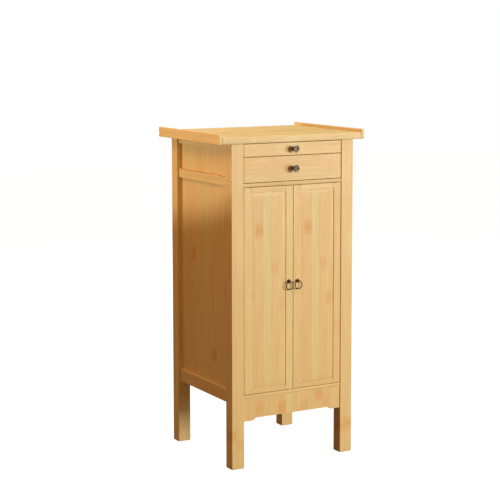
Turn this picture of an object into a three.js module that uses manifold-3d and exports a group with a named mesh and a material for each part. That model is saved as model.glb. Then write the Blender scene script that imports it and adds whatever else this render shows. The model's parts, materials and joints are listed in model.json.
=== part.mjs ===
// Bamboo altar cabinet on four posts. The top lies between two raised cheeks. Under it come a shallow
// tray, a drawer, and a cupboard behind a pair of framed doors that turn on pivot pins.
// Millimetres, +X to the right, +Y to the back, +Z up. The origin is on the floor, under the middle of
// the outline. Left and right are as seen from the front.

import * as THREE from 'three';
import { mergeVertices } from 'three/addons/utils/BufferGeometryUtils.js';
import Module from 'manifold-3d';

// Top
const HEIGHT = 1000;
const TOP_WIDTH = 500;
const TOP_DEPTH = 400;
const TOP_THICKNESS = 20;
const TOP_SIDE_OVERHANG = 40;
const TOP_BACK_OVERHANG = 8;
const CHEEK_THICKNESS = 10;
const CHEEK_RISE = 10;

// Posts and the boards between them
const POST_WIDTH = 41;
const POST_DEPTH = 38;
const SHELF_THICKNESS = 11;
const CUPBOARD_FLOOR_HEIGHT = 221;
const TRAY_BAY_HEIGHT = 40;
const DRAWER_BAY_HEIGHT = 77;

// Side frames
const SIDE_RAIL_RECESS = 7;
const SIDE_PANEL_RECESS = 17;
const SIDE_PANEL_THICKNESS = 12;
const SIDE_TOP_RAIL = 20;
const SIDE_MIDDLE_RAIL = 27;
const SIDE_BOTTOM_RAIL = 39;
const MIDDLE_RAIL_OVER_CEILING = 2;
const BOTTOM_RAIL_UNDER_FLOOR = 14;

// Back
const BACK_RAIL_RECESS = 2;
const BACK_PANEL_RECESS = 8;
const BACK_PANEL_THICKNESS = 10;
const BACK_TOP_RAIL = 40;

// Apron under the cupboard floor
const APRON_DROP = 61;
const APRON_THICKNESS = 14;
const APRON_RECESS = 3;
const EAR_WIDTH = 30;
const EAR_DROP = 7;
const EAR_SWEEP = 14;

// Doors, tray and drawer fronts
const FRONT_RECESS = 1.5;
const FRONT_GAP = 1.5;
const FRONT_THICKNESS = 16;
const DOOR_THICKNESS = 16;
const DOOR_STILE = 24;
const DOOR_RAIL = 16;
const DOOR_PANEL_RECESS = 1;
const DOOR_PANEL_THICKNESS = 11;
const PANEL_FIELD_RISE = 1;
const PANEL_FIELD_SLOPE = 12;

// Pivot pins of the doors
const PIN_RADIUS = 2.5;
const PIN_IN_DOOR = 14;
const PIN_IN_BOARD = 7;
const PIVOT_FROM_EDGE = 8;
const PIVOT_FROM_FACE = 4.5;

// Tray and drawer boxes
const BOX_SIDE_CLEARANCE = 2;
const BOX_RUN_CLEARANCE = 1;
const BOX_BACK_SPACE = 30;
const BOX_SIDE_THICKNESS = 12;
const BOX_BACK_THICKNESS = 12;
const BOX_BOTTOM_THICKNESS = 5;
const BOX_BOTTOM_LIFT = 3;
const TRAY_HEADROOM = 11;
const DRAWER_HEADROOM = 8;
const RUNNER_THICKNESS = 10;
const RUNNER_LEDGE = 12;
const RUNNER_FENCE = 15;
const GUIDE_HEIGHT = 20;

// Bronze knobs and ring pulls
const KNOB_RADIUS = 11;
const KNOB_REACH = 22;
const PULL_HEIGHT = 552;
const PULL_FROM_SEAM = 15;
const PULL_STANDOFF = 7;
const RING_RADIUS = 12;
const RING_WIRE_RADIUS = 1.4;
const EYE_RADIUS = 3.8;
const EYE_WIDTH = 5;
const STEM_RADIUS = 2.2;
const ROSETTE_RADIUS = 6.5;
const ROSETTE_THICKNESS = 1.6;

// Seams, clearances and edges
const SEAM = 0.3;
const EDGE_EASE = 1;
const RING_PLAY = 0.35;
const CUT_OVERRUN = 1;
const ROUND_SIDES = 24;
const RING_SIDES = 32;
const WIRE_SIDES = 8;
const PIN_SIDES = 16;
const SWEEP_SIDES = 6;

const FINISHES = {
  frame: { color: 0xe2b478, roughness: 0.42, metalness: 0 },
  panel: { color: 0xe6b97e, roughness: 0.42, metalness: 0 },
  inner: { color: 0xd9b07a, roughness: 0.6, metalness: 0 },
  bronze: { color: 0x4a3524, roughness: 0.38, metalness: 0.85 },
  steel: { color: 0x9a9a98, roughness: 0.35, metalness: 0.9 },
};

// A knob's outline from its foot to its tip, as shares of its radius and its reach
const KNOB_OUTLINE = [
  [0, 0],
  [0.58, 0],
  [0.58, 0.055],
  [0.46, 0.11],
  [0.4, 0.2],
  [0.43, 0.38],
  [0.62, 0.56],
  [0.92, 0.7],
  [1, 0.79],
  [0.93, 0.88],
  [0.79, 0.92],
  [0.67, 0.89],
  [0.52, 1],
  [0.38, 0.96],
  [0.24, 0.89],
  [0, 0.87],
];

// Heights that follow from the sizes above
const topSurface = HEIGHT - CHEEK_RISE;
const topUnderside = topSurface - TOP_THICKNESS;
const trayBayFloor = topUnderside - TRAY_BAY_HEIGHT;
const drawerBayFloor = trayBayFloor - DRAWER_BAY_HEIGHT;
const cupboardCeiling = drawerBayFloor - SHELF_THICKNESS;
const cupboardUnderside = CUPBOARD_FLOOR_HEIGHT - SHELF_THICKNESS;
const middleRailLow = cupboardCeiling + MIDDLE_RAIL_OVER_CEILING;
const bottomRailLow = cupboardUnderside - BOTTOM_RAIL_UNDER_FLOOR;

// Planes that follow from the sizes above, measured from the middle of the posts
const bodyDepth = TOP_DEPTH - TOP_BACK_OVERHANG;
const frontPlane = -bodyDepth / 2;
const backPlane = bodyDepth / 2;
const frontFace = frontPlane + FRONT_RECESS;
const backInside = backPlane - BACK_PANEL_RECESS - BACK_PANEL_THICKNESS;
const bayDepth = [frontPlane + POST_DEPTH + SEAM, backPlane - POST_DEPTH - SEAM];
const sideOutside = TOP_WIDTH / 2 - TOP_SIDE_OVERHANG;
const sideInside = sideOutside - SIDE_PANEL_RECESS - SIDE_PANEL_THICKNESS;
const postInside = sideOutside - POST_WIDTH;
const pivotAcross = postInside - FRONT_GAP - PIVOT_FROM_EDGE;
const pivotDepth = frontFace + PIVOT_FROM_FACE;

const SIDES = [
  ['left', -1],
  ['right', 1],
];

const wasm = await Module();
wasm.setup();

const cabinet = new THREE.Group();

// Adds one named piece in one of the finishes.
function add(name, geometry, finish) {
  const mesh = new THREE.Mesh(geometry, new THREE.MeshStandardMaterial(FINISHES[finish]));
  mesh.name = name;
  cabinet.add(mesh);
}

// The stretch from one distance to another on the left or right of the middle, in rising order.
function across(sign, near, far) {
  return sign < 0 ? [-far, -near] : [near, far];
}

// An outline raised along Z between two heights, with a sloping flat of the given rise and slope
// along both of its edges.
function raise(outline, [z0, z1], rise = EDGE_EASE, slope = EDGE_EASE) {
  const solid = new THREE.ExtrudeGeometry(outline, {
    depth: z1 - z0 - 2 * rise,
    bevelThickness: rise,
    bevelSize: slope,
    bevelOffset: -slope,
    bevelSegments: 1,
    curveSegments: SWEEP_SIDES,
  });
  return solid.translate(0, 0, z0 + rise);
}

// The same for an outline that is drawn in X and Z and raised along Y.
function raiseDeep(outline, [y0, y1], rise, slope) {
  return raise(outline, [-y1, -y0], rise, slope).rotateX(Math.PI / 2);
}

// A rectangle between two stretches.
function rectangle([x0, x1], [y0, y1]) {
  const outline = new THREE.Shape();
  outline.moveTo(x0, y0);
  outline.lineTo(x1, y0);
  outline.lineTo(x1, y1);
  outline.lineTo(x0, y1);
  outline.closePath();
  return outline;
}

// A board that fills the given stretches along X, Y and Z.
function board(wide, deep, high) {
  return raise(rectangle(wide, deep), high);
}

// A round bar along Z between two heights.
function bar(x, y, radius, [z0, z1]) {
  const solid = new THREE.CylinderGeometry(radius, radius, z1 - z0, PIN_SIDES);
  return solid.rotateX(Math.PI / 2).translate(x, y, (z0 + z1) / 2);
}

// A closed geometry as a solid that can be cut and joined.
function toSolid(geometry) {
  const bare = geometry.clone();
  bare.deleteAttribute('normal');
  bare.deleteAttribute('uv');
  const merged = mergeVertices(bare);
  return new wasm.Manifold(new wasm.Mesh({
    numProp: 3,
    vertProperties: merged.getAttribute('position').array,
    triVerts: new Uint32Array(merged.getIndex().array),
  }));
}

// The geometry of a solid that was cut or joined.
function fromSolid(solid) {
  const { vertProperties, triVerts } = solid.getMesh();
  const geometry = new THREE.BufferGeometry();
  geometry.setAttribute('position', new THREE.BufferAttribute(new Float32Array(vertProperties), 3));
  geometry.setIndex(new THREE.BufferAttribute(new Uint32Array(triVerts), 1));
  geometry.computeVertexNormals();
  return geometry;
}

// A geometry with others cut away from it.
function cut(geometry, tools) {
  return fromSolid(tools.reduce((rest, tool) => rest.subtract(toSolid(tool)), toSolid(geometry)));
}

// A shelf that reaches from the fronts to the back panel, with its corners notched round the posts.
function shelfOutline() {
  const wide = sideInside - SEAM;
  const narrow = postInside - SEAM;
  const back = backInside - SEAM;
  const outline = new THREE.Shape();
  outline.moveTo(-narrow, frontFace);
  outline.lineTo(narrow, frontFace);
  outline.lineTo(narrow, bayDepth[0]);
  outline.lineTo(wide, bayDepth[0]);
  outline.lineTo(wide, bayDepth[1]);
  outline.lineTo(narrow, bayDepth[1]);
  outline.lineTo(narrow, back);
  outline.lineTo(-narrow, back);
  outline.lineTo(-narrow, bayDepth[1]);
  outline.lineTo(-wide, bayDepth[1]);
  outline.lineTo(-wide, bayDepth[0]);
  outline.lineTo(-narrow, bayDepth[0]);
  outline.closePath();
  return outline;
}

// The sockets for the door pins in a shelf, between two heights.
function pinSockets(heights) {
  return SIDES.map(([, sign]) => bar(sign * pivotAcross, pivotDepth, PIN_RADIUS + SEAM, heights));
}

function addTop() {
  const deep = [frontPlane, frontPlane + TOP_DEPTH];
  const cheekInside = TOP_WIDTH / 2 - CHEEK_THICKNESS;
  const wide = cheekInside - SEAM;
  add('top_board', board([-wide, wide], deep, [topUnderside, topSurface]), 'panel');
  for (const [side, sign] of SIDES) {
    const thick = across(sign, cheekInside, TOP_WIDTH / 2);
    add(`top_cheek_${side}`, board(thick, deep, [topUnderside, HEIGHT]), 'frame');
  }
}

function addPosts() {
  const rows = [
    ['front', [frontPlane, frontPlane + POST_DEPTH]],
    ['back', [backPlane - POST_DEPTH, backPlane]],
  ];
  for (const [row, deep] of rows) {
    for (const [side, sign] of SIDES) {
      const wide = across(sign, postInside, sideOutside);
      add(`post_${row}_${side}`, board(wide, deep, [0, topUnderside - SEAM]), 'frame');
    }
  }
}

function addSideFrames() {
  const rails = {
    top: [topUnderside - SIDE_TOP_RAIL, topUnderside - SEAM],
    middle: [middleRailLow, middleRailLow + SIDE_MIDDLE_RAIL],
    bottom: [bottomRailLow, bottomRailLow + SIDE_BOTTOM_RAIL],
  };
  const panels = {
    upper: [rails.middle[1] + SEAM, rails.top[0] - SEAM],
    lower: [rails.bottom[1] + SEAM, rails.middle[0] - SEAM],
  };
  for (const [side, sign] of SIDES) {
    const railThick = across(sign, sideInside, sideOutside - SIDE_RAIL_RECESS);
    const panelThick = across(sign, sideInside, sideOutside - SIDE_PANEL_RECESS);
    for (const [place, heights] of Object.entries(rails)) {
      add(`side_rail_${place}_${side}`, board(railThick, bayDepth, heights), 'frame');
    }
    for (const [place, heights] of Object.entries(panels)) {
      add(`side_panel_${place}_${side}`, board(panelThick, bayDepth, heights), 'panel');
    }
  }
}

function addBack() {
  const wide = [-postInside + SEAM, postInside - SEAM];
  const railDeep = [backInside, backPlane - BACK_RAIL_RECESS];
  const panelDeep = [backInside, backPlane - BACK_PANEL_RECESS];
  const bottomRail = [bottomRailLow, bottomRailLow + SIDE_BOTTOM_RAIL];
  const topRail = [topUnderside - BACK_TOP_RAIL, topUnderside - SEAM];
  add('back_rail_bottom', board(wide, railDeep, bottomRail), 'frame');
  add('back_rail_top', board(wide, railDeep, topRail), 'frame');
  add('back_panel', board(wide, panelDeep, [bottomRail[1] + SEAM, topRail[0] - SEAM]), 'panel');
}

function addShelves() {
  const socketDepth = PIN_IN_BOARD + SEAM;
  const floorTop = CUPBOARD_FLOOR_HEIGHT;
  const floorSockets = pinSockets([floorTop - socketDepth, floorTop + CUT_OVERRUN]);
  const floor = raise(shelfOutline(), [cupboardUnderside, floorTop]);
  add('cupboard_floor', cut(floor, floorSockets), 'inner');
  const dividerSockets = pinSockets([cupboardCeiling - CUT_OVERRUN, cupboardCeiling + socketDepth]);
  const divider = raise(shelfOutline(), [cupboardCeiling, drawerBayFloor]);
  add('divider_board', cut(divider, dividerSockets), 'inner');
}

// The apron's lower edge drops in an S-curve to an ear at each end.
function addApron() {
  const end = postInside - SEAM;
  const top = cupboardUnderside - SEAM;
  const edge = top - APRON_DROP;
  const ear = edge - EAR_DROP;
  const earInside = end - EAR_WIDTH;
  const sweepEnd = earInside - EAR_SWEEP;
  const sweepMiddle = (earInside + sweepEnd) / 2;
  const outline = new THREE.Shape();
  outline.moveTo(-end, top);
  outline.lineTo(-end, ear);
  outline.lineTo(-earInside, ear);
  outline.bezierCurveTo(-sweepMiddle, ear, -sweepMiddle, edge, -sweepEnd, edge);
  outline.lineTo(sweepEnd, edge);
  outline.bezierCurveTo(sweepMiddle, edge, sweepMiddle, ear, earInside, ear);
  outline.lineTo(end, ear);
  outline.lineTo(end, top);
  outline.closePath();
  const apronFace = frontPlane + APRON_RECESS;
  add('front_apron', raiseDeep(outline, [apronFace, apronFace + APRON_THICKNESS]), 'frame');
}

// An L-shaped runner under each side of the tray, and a straight guide beside the drawer.
function addRunners() {
  const outside = sideInside - SEAM;
  const ledge = postInside - RUNNER_LEDGE;
  for (const [side, sign] of SIDES) {
    const outline = new THREE.Shape();
    outline.moveTo(sign * outside, trayBayFloor - RUNNER_THICKNESS);
    outline.lineTo(sign * ledge, trayBayFloor - RUNNER_THICKNESS);
    outline.lineTo(sign * ledge, trayBayFloor);
    outline.lineTo(sign * postInside, trayBayFloor);
    outline.lineTo(sign * postInside, trayBayFloor + RUNNER_FENCE);
    outline.lineTo(sign * outside, trayBayFloor + RUNNER_FENCE);
    outline.closePath();
    add(`tray_runner_${side}`, raiseDeep(outline, bayDepth), 'inner');
    const guideHeights = [drawerBayFloor + SEAM, drawerBayFloor + GUIDE_HEIGHT];
    add(`drawer_guide_${side}`, board(across(sign, postInside, outside), bayDepth, guideHeights), 'inner');
  }
}

// A knob turned from bronze, with a ring raised on its face, on the front face at a height.
function knob(height) {
  const points = KNOB_OUTLINE.map(([radius, reach]) => (
    new THREE.Vector2(radius * KNOB_RADIUS, reach * KNOB_REACH)
  ));
  const solid = new THREE.LatheGeometry(points, ROUND_SIDES).rotateX(Math.PI);
  return solid.translate(0, frontFace - SEAM, height);
}

// A pull-out box behind a front: two sides, a back, a bottom and a knob.
function addBox(name, frontHeights, sideHeights, knobHeight) {
  const frontWide = postInside - FRONT_GAP;
  const boxOutside = postInside - BOX_SIDE_CLEARANCE;
  const boxInside = boxOutside - BOX_SIDE_THICKNESS;
  const boxFront = frontFace + FRONT_THICKNESS + SEAM;
  const boxBack = backInside - BOX_BACK_SPACE;
  const backFace = boxBack - BOX_BACK_THICKNESS;
  const bottomLow = sideHeights[0] + BOX_BOTTOM_LIFT;
  const frontDeep = [frontFace, frontFace + FRONT_THICKNESS];
  const inner = [-boxInside + SEAM, boxInside - SEAM];
  add(`${name}_front`, board([-frontWide, frontWide], frontDeep, frontHeights), 'panel');
  for (const [side, sign] of SIDES) {
    const thick = across(sign, boxInside, boxOutside);
    add(`${name}_side_${side}`, board(thick, [boxFront, boxBack], sideHeights), 'inner');
  }
  add(`${name}_back`, board(inner, [backFace, boxBack], sideHeights), 'inner');
  const bottomHeights = [bottomLow, bottomLow + BOX_BOTTOM_THICKNESS];
  add(`${name}_bottom`, board(inner, [boxFront, backFace - SEAM], bottomHeights), 'inner');
  add(`${name}_knob`, knob(knobHeight), 'bronze');
}

function addBoxes() {
  const trayFront = [trayBayFloor + FRONT_GAP / 2, topUnderside - FRONT_GAP];
  const traySides = [trayBayFloor + BOX_RUN_CLEARANCE, topUnderside - TRAY_HEADROOM];
  addBox('tray', trayFront, traySides, (trayBayFloor + topUnderside) / 2);
  const drawerFront = [drawerBayFloor + FRONT_GAP, trayBayFloor - FRONT_GAP / 2];
  const drawerCeiling = trayBayFloor - RUNNER_THICKNESS;
  const drawerSides = [drawerBayFloor + BOX_RUN_CLEARANCE, drawerCeiling - DRAWER_HEADROOM];
  addBox('drawer', drawerFront, drawerSides, (drawerBayFloor + trayBayFloor) / 2);
}

// The rosette, stem and eye that hold a ring, cut through for the ring's wire.
function pullPost(x) {
  const eyeY = frontFace - PULL_STANDOFF;
  const stemEnd = frontFace - SEAM;
  const rosette = new THREE.CylinderGeometry(ROSETTE_RADIUS, ROSETTE_RADIUS, ROSETTE_THICKNESS, ROUND_SIDES)
    .translate(x, stemEnd - ROSETTE_THICKNESS / 2, PULL_HEIGHT);
  const stem = new THREE.CylinderGeometry(STEM_RADIUS, STEM_RADIUS, stemEnd - eyeY, PIN_SIDES)
    .translate(x, (stemEnd + eyeY) / 2, PULL_HEIGHT);
  const eye = new THREE.CylinderGeometry(EYE_RADIUS, EYE_RADIUS, EYE_WIDTH, ROUND_SIDES)
    .rotateZ(Math.PI / 2).translate(x, eyeY, PULL_HEIGHT);
  const halfEye = EYE_WIDTH / 2;
  const ringSag = RING_RADIUS - Math.sqrt(RING_RADIUS ** 2 - halfEye ** 2);
  const holeRadius = RING_WIRE_RADIUS + ringSag + RING_PLAY;
  const holeWidth = EYE_WIDTH + 2 * CUT_OVERRUN;
  const hole = new THREE.CylinderGeometry(holeRadius, holeRadius, holeWidth, ROUND_SIDES)
    .rotateZ(Math.PI / 2).translate(x, eyeY, PULL_HEIGHT);
  const joined = toSolid(rosette).add(toSolid(stem)).add(toSolid(eye));
  return fromSolid(joined.subtract(toSolid(hole)));
}

// A ring of round wire that hangs in the eye.
function pullRing(x) {
  const ring = new THREE.TorusGeometry(RING_RADIUS, RING_WIRE_RADIUS, WIRE_SIDES, RING_SIDES);
  return ring.rotateX(Math.PI / 2).translate(x, frontFace - PULL_STANDOFF, PULL_HEIGHT - RING_RADIUS);
}

// One framed door: its stiles run the full height, and its rails and its fielded panel lie between
// them.
function addDoor(side, sign) {
  const low = CUPBOARD_FLOOR_HEIGHT + FRONT_GAP;
  const high = cupboardCeiling - FRONT_GAP;
  const outer = postInside - FRONT_GAP;
  const inner = FRONT_GAP / 2;
  const deep = [frontFace, frontFace + DOOR_THICKNESS];
  const between = across(sign, inner + DOOR_STILE + SEAM, outer - DOOR_STILE - SEAM);
  const pinX = sign * pivotAcross;
  const pinHeights = {
    bottom: [CUPBOARD_FLOOR_HEIGHT - PIN_IN_BOARD, low + PIN_IN_DOOR],
    top: [high - PIN_IN_DOOR, cupboardCeiling + PIN_IN_BOARD],
  };
  const pinHoles = [
    bar(pinX, pivotDepth, PIN_RADIUS + SEAM, [low - CUT_OVERRUN, low + PIN_IN_DOOR + SEAM]),
    bar(pinX, pivotDepth, PIN_RADIUS + SEAM, [high - PIN_IN_DOOR - SEAM, high + CUT_OVERRUN]),
  ];
  const outerStile = board(across(sign, outer - DOOR_STILE, outer), deep, [low, high]);
  add(`door_${side}_stile_outer`, cut(outerStile, pinHoles), 'frame');
  const innerStile = board(across(sign, inner, inner + DOOR_STILE), deep, [low, high]);
  add(`door_${side}_stile_inner`, innerStile, 'frame');
  add(`door_${side}_rail_top`, board(between, deep, [high - DOOR_RAIL, high]), 'frame');
  add(`door_${side}_rail_bottom`, board(between, deep, [low, low + DOOR_RAIL]), 'frame');
  const panelFace = frontFace + DOOR_PANEL_RECESS;
  const panelHeights = [low + DOOR_RAIL + SEAM, high - DOOR_RAIL - SEAM];
  const panelDeep = [panelFace, panelFace + DOOR_PANEL_THICKNESS];
  const field = raiseDeep(rectangle(between, panelHeights), panelDeep, PANEL_FIELD_RISE, PANEL_FIELD_SLOPE);
  add(`door_${side}_panel`, field, 'panel');
  for (const [place, heights] of Object.entries(pinHeights)) {
    add(`door_${side}_pin_${place}`, bar(pinX, pivotDepth, PIN_RADIUS, heights), 'steel');
  }
  const pullX = sign * PULL_FROM_SEAM;
  add(`door_${side}_pull_post`, pullPost(pullX), 'bronze');
  add(`door_${side}_pull_ring`, pullRing(pullX), 'bronze');
}

addTop();
addPosts();
addSideFrames();
addBack();
addShelves();
addApron();
addRunners();
addBoxes();
for (const [side, sign] of SIDES) {
  addDoor(side, sign);
}

// The knobs reach further forward than the top does to the back, so the outline is centred here.
const outline = new THREE.Box3().setFromObject(cabinet);
cabinet.position.y = -(outline.min.y + outline.max.y) / 2;

const group = new THREE.Group();
group.add(cabinet);

export default group;
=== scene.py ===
"""Looks of a tall bamboo altar cabinet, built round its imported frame.

Every board becomes a slab of laminated bamboo with rolled edges, the door panels get their raised
fields, and the knobs and ring pulls are turned and bent from dark bronze. All lengths are in metres.
"""

import json
import logging
import math
from dataclasses import dataclass, field
from enum import Enum

import bpy
import numpy as np
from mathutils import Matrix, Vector

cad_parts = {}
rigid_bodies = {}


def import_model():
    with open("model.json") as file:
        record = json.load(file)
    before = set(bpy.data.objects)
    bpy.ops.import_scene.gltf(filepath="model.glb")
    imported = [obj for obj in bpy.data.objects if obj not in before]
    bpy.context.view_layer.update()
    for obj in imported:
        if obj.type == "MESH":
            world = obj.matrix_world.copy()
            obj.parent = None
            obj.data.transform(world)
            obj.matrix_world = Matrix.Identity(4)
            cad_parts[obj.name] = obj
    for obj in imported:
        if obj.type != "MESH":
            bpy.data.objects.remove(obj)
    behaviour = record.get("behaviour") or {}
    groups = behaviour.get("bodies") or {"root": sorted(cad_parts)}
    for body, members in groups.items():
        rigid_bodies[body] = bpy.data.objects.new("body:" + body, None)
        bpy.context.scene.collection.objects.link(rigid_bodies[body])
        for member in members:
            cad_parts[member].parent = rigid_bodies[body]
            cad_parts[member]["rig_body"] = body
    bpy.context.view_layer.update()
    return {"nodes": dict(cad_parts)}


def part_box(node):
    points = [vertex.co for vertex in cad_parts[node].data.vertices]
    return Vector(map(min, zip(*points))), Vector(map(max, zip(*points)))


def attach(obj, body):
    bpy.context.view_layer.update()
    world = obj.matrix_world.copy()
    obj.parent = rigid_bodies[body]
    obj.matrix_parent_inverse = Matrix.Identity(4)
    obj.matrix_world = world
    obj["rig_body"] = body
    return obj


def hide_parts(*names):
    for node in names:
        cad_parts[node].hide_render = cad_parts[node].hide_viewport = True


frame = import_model()

log = logging.getLogger("altar_cabinet")

MM = 0.001
QUARTER = math.pi / 2

# How the bamboo is glued up: flat strips side by side, in plies
STRIP_WIDTH = 26 * MM
PLY_THICKNESS = 6.5 * MM
FIRST_PLY = 2.6 * MM
PLY_STAGGER = 0.37

# Knuckles along a strip drawn by chance: their spacing, from the least to the most
KNUCKLE_PERIOD = (0.45, 0.75)
# A strip in a chosen order has one knuckle, somewhere along this length
STRIP_LENGTH = 0.8


class Axis(Enum):
    """One of the frame's directions, as the number of its coordinate."""

    X = 0
    Y = 1
    Z = 2

    @property
    def arrow(self) -> np.ndarray:
        """The direction as a unit vector."""
        return np.eye(3)[self.value]


class Side(Enum):
    """One half of the cabinet as seen from the front, with its direction along X."""

    LEFT = -1
    RIGHT = 1

    @property
    def word(self) -> str:
        """The side's name as the nodes spell it."""
        return self.name.lower()


@dataclass(frozen=True)
class Section:
    """A profile that is carried round an outline, as four equal arrays.

    inset is how far a point lies inside the outline, height is its place along the thickness, tilt is
    the angle of its normal (0 faces straight out, a quarter turn faces along the thickness), and rim
    is 1 where the point lies on a rolled edge, which gets a painted highlight, partly rubbed lacquer.
    """

    inset: np.ndarray
    height: np.ndarray
    tilt: np.ndarray
    rim: np.ndarray


@dataclass(frozen=True)
class Solid:
    """A closed surface: points, faces, point normals and how much each point lies on an edge."""

    points: np.ndarray
    faces: list
    normals: np.ndarray
    rim: np.ndarray

    def placed(self, axes: np.ndarray, origin: np.ndarray) -> "Solid":
        """Turns the surface into the frame.

        Args:
            axes: three rows, the directions in the frame of the surface's own axes.
            origin: the point of the frame where the surface's own origin comes.

        Returns:
            The surface in the frame, with its faces still pointing outwards.
        """
        turned_faces = self.faces if np.linalg.det(axes) > 0 else [face[::-1] for face in self.faces]
        return Solid(self.points @ axes + origin, turned_faces, self.normals @ axes, self.rim)


def joined(*solids: Solid) -> Solid:
    """Several closed surfaces as one piece.

    Args:
        solids: the surfaces, already in place.

    Returns:
        One surface that holds them all.
    """
    faces = []
    start = 0
    for solid in solids:
        faces += [[start + point for point in face] for face in solid.faces]
        start += len(solid.points)
    return Solid(
        np.concatenate([solid.points for solid in solids]),
        faces,
        np.concatenate([solid.normals for solid in solids]),
        np.concatenate([solid.rim for solid in solids]),
    )


class Rectangle:
    """A rectangle round the origin whose corners are rolled to a radius."""

    LEAST_CORNER = 0.02 * MM

    def __init__(self, wide: float, long: float, radius: float, steps: int = 3) -> None:
        """Keeps the sizes and works out the directions in which the corner points face.

        Args:
            wide: size along the first axis.
            long: size along the second axis.
            radius: radius of the corners.
            steps: segments in each corner.
        """
        self.half = np.array([wide, long]) / 2
        self.radius = radius
        turn = np.linspace(0, QUARTER, steps + 1)
        angle = (np.arange(4)[:, None] * QUARTER + turn).ravel()
        self.normals = np.stack([np.cos(angle), np.sin(angle)], 1)
        corners = np.array([[1, 1], [-1, 1], [-1, -1], [1, -1]])
        self.signs = np.repeat(corners, steps + 1, axis=0)
        self.rim = np.tile(np.sin(2 * turn), 4)

    def ring(self, inset: float) -> np.ndarray:
        """The outline shrunk by an inset: corner centres plus the corner radius times each direction."""
        corner = max(self.radius - inset, self.LEAST_CORNER)
        return self.signs * (self.half - inset - corner) + corner * self.normals


class Polygon:
    """A closed outline, counter-clockwise, whose corners are rolled to a radius."""

    SHARP = 0.6

    def __init__(self, corners: np.ndarray, radius: float, steps: int = 3) -> None:
        """Turns every corner into an arc.

        The arc runs between the points where a circle of the radius touches both edges. The circle's
        centre lies inside the outline at an outward corner, and outside it at an inward one.

        Args:
            corners: the outline's corners, one row each.
            radius: radius of the arcs.
            steps: segments in each arc.
        """
        before = corners - np.roll(corners, 1, axis=0)
        after = np.roll(corners, -1, axis=0) - corners
        before = before / np.linalg.norm(before, axis=1, keepdims=True)
        after = after / np.linalg.norm(after, axis=1, keepdims=True)
        cross = before[:, 0] * after[:, 1] - before[:, 1] * after[:, 0]
        turn = np.arctan2(cross, (before * after).sum(1))
        start = corners - before * (radius * np.tan(np.abs(turn) / 2))[:, None]
        first = np.arctan2(-before[:, 0], before[:, 1])
        reach = radius * np.where(turn >= 0, 1.0, -1.0)[:, None]
        centre = start - reach * np.stack([np.cos(first), np.sin(first)], 1)
        share = np.linspace(0, 1, steps + 1)
        angle = first[:, None] + turn[:, None] * share
        normals = np.stack([np.cos(angle), np.sin(angle)], 2)
        points = centre[:, None] + reach[:, None] * normals
        self.points = points.reshape(-1, 2)
        self.normals = normals.reshape(-1, 2)
        self.rim = (np.sin(np.pi * share) * (turn > self.SHARP)[:, None]).ravel()

    def ring(self, inset: float) -> np.ndarray:
        """The outline moved inwards along its normals."""
        return self.points - inset * self.normals


def rolled_section(thick: float, radius: float, steps: int = 3) -> Section:
    """The edge of a slab: a quarter circle at its back, a straight edge and a quarter circle at its face.

    On each arc the inset is the radius times one minus the cosine of the angle, and the height is the
    arc's centre plus the radius times the sine.

    Args:
        thick: the slab's thickness, which lies evenly about zero.
        radius: radius of both arcs.
        steps: segments in each arc.

    Returns:
        The profile from the back to the face.
    """
    turn = np.linspace(0, QUARTER, steps + 1)
    angle = np.concatenate([-turn[::-1], turn])
    centre = np.sign(np.arange(angle.size) - steps - 0.5) * (thick / 2 - radius)
    rim = np.abs(np.sin(2 * angle))
    return Section(radius * (1 - np.cos(angle)), centre + radius * np.sin(angle), angle, rim)


def fielded_section(thick: float, arris: float, crest: float, rise: float, slope: float) -> Section:
    """The edge of a fielded panel: a rolled arris, a long slope and a soft crest, the same on both faces.

    The slope's line climbs by the rise over its width. Both arcs touch it, so their centres lie one
    radius off it.

    Args:
        thick: the panel's thickness over both fields.
        arris: radius between the edge and the slope.
        crest: radius between the slope and the field.
        rise: height of the field over the panel's edge.
        slope: width of the slope.

    Returns:
        The profile from the back field to the front field.
    """
    top = thick / 2
    grade = rise / slope
    lean = QUARTER - math.atan(grade)
    low = np.linspace(0, lean, 4)
    high = np.linspace(lean, QUARTER, 4)
    foot = top - rise + arris * (1 - math.cos(lean)) * grade - arris * math.sin(lean)
    crown = crest * math.cos(lean) + (rise - crest * (1 - math.sin(lean))) / grade
    inset = np.concatenate([arris * (1 - np.cos(low)), crown - crest * np.cos(high)])
    height = np.concatenate([foot + arris * np.sin(low), top - crest * (1 - np.sin(high))])
    tilt = np.concatenate([low, high])
    rim = np.sin(np.pi * np.tile(np.linspace(0, 1, 4), 2))
    mirrored = [np.concatenate([-part[::-1], part]) for part in (height, tilt)]
    doubled = [np.concatenate([part[::-1], part]) for part in (inset, rim)]
    return Section(doubled[0], mirrored[0], mirrored[1], doubled[1])


def wrapped_quads(rows: int, count: int, close_rows: bool = False) -> np.ndarray:
    """Quads of a grid whose columns wrap round, and whose rows may wrap too.

    Args:
        rows: rows of points.
        count: points in each row.
        close_rows: whether the last row joins the first.

    Returns:
        One row of four point numbers for each quad.
    """
    row = np.arange(rows if close_rows else rows - 1)[:, None]
    column = np.arange(count)[None, :]
    above = (row + 1) % rows
    beside = (column + 1) % count
    corners = [row * count + column, row * count + beside, above * count + beside, above * count + column]
    return np.stack(np.broadcast_arrays(*corners), 2).reshape(-1, 4)


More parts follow.
